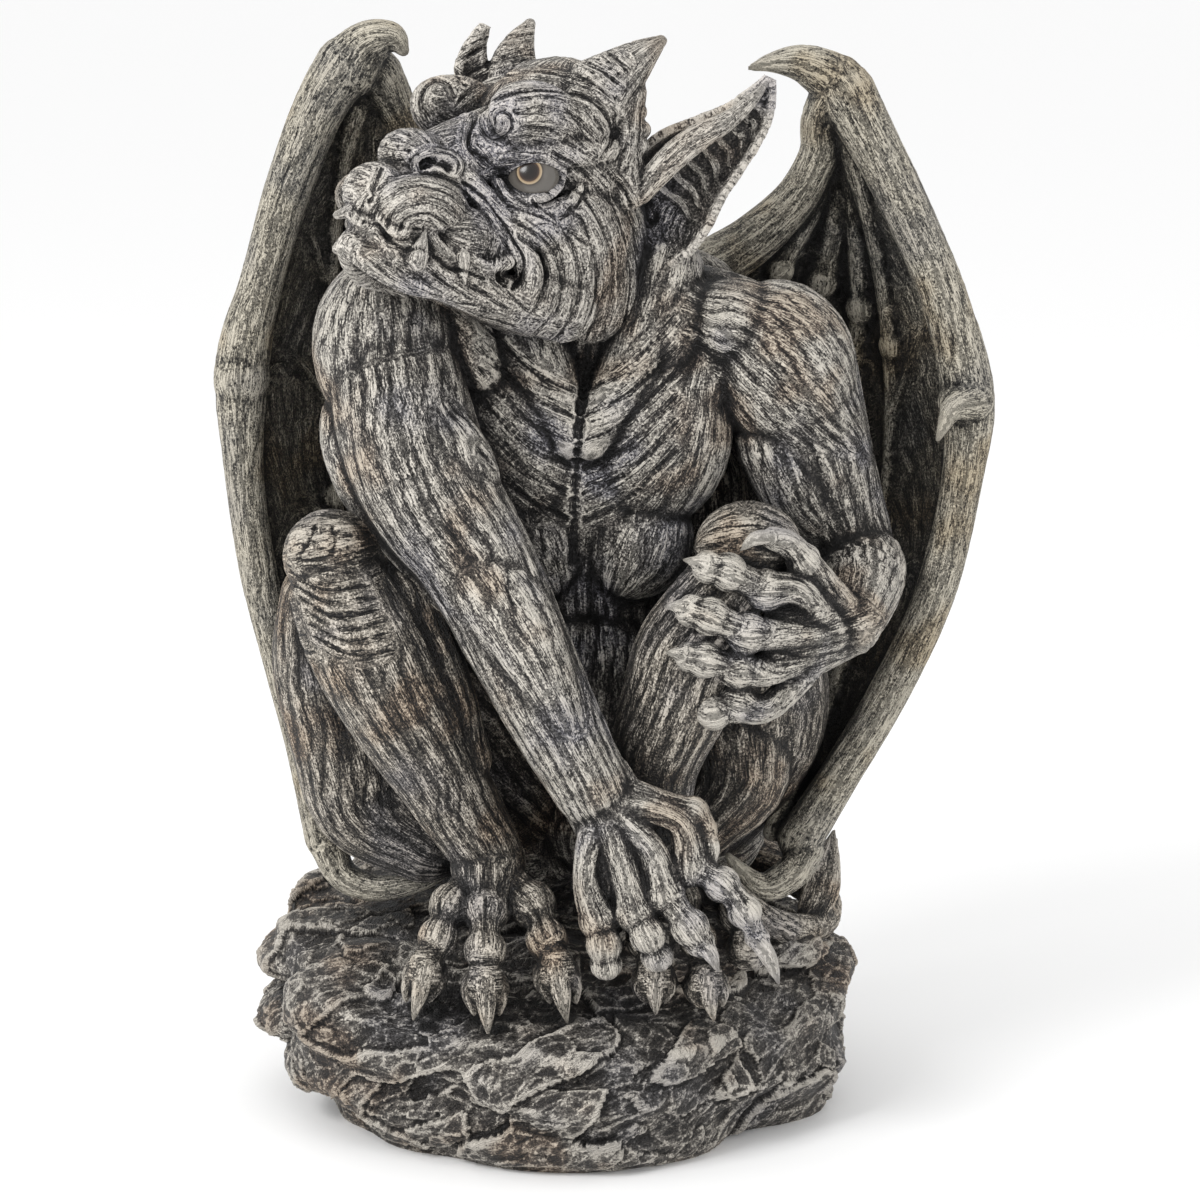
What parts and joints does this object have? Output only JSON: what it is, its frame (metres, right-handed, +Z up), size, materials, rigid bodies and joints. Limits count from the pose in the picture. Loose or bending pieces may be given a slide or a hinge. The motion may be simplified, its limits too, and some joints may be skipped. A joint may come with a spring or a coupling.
{
  "type": "gargoyle statue",
  "caption": "Crouching winged gargoyle with a turned head, one hand on its knee and one on the rock it sits on, cast in one piece with that rock and painted as weathered stone",
  "frame": {"origin": "middle of the flat underside of the rock, at the ground", "axes": "+Z up, the height and longest extent; -Y is the figure's front, which the picture shows; +X is the figure's own left, the picture's right"},
  "size_m": [0.3433, 0.2259, 0.4813],
  "materials": {
    "weathered_stone_resin": "matte, dark wash in the hollows and dry-brushed pale grey on the ridges"
  },
  "bodies": {
    "root": {"gargoyle_statue": "weathered_stone_resin"}
  },
  "joints": []
}
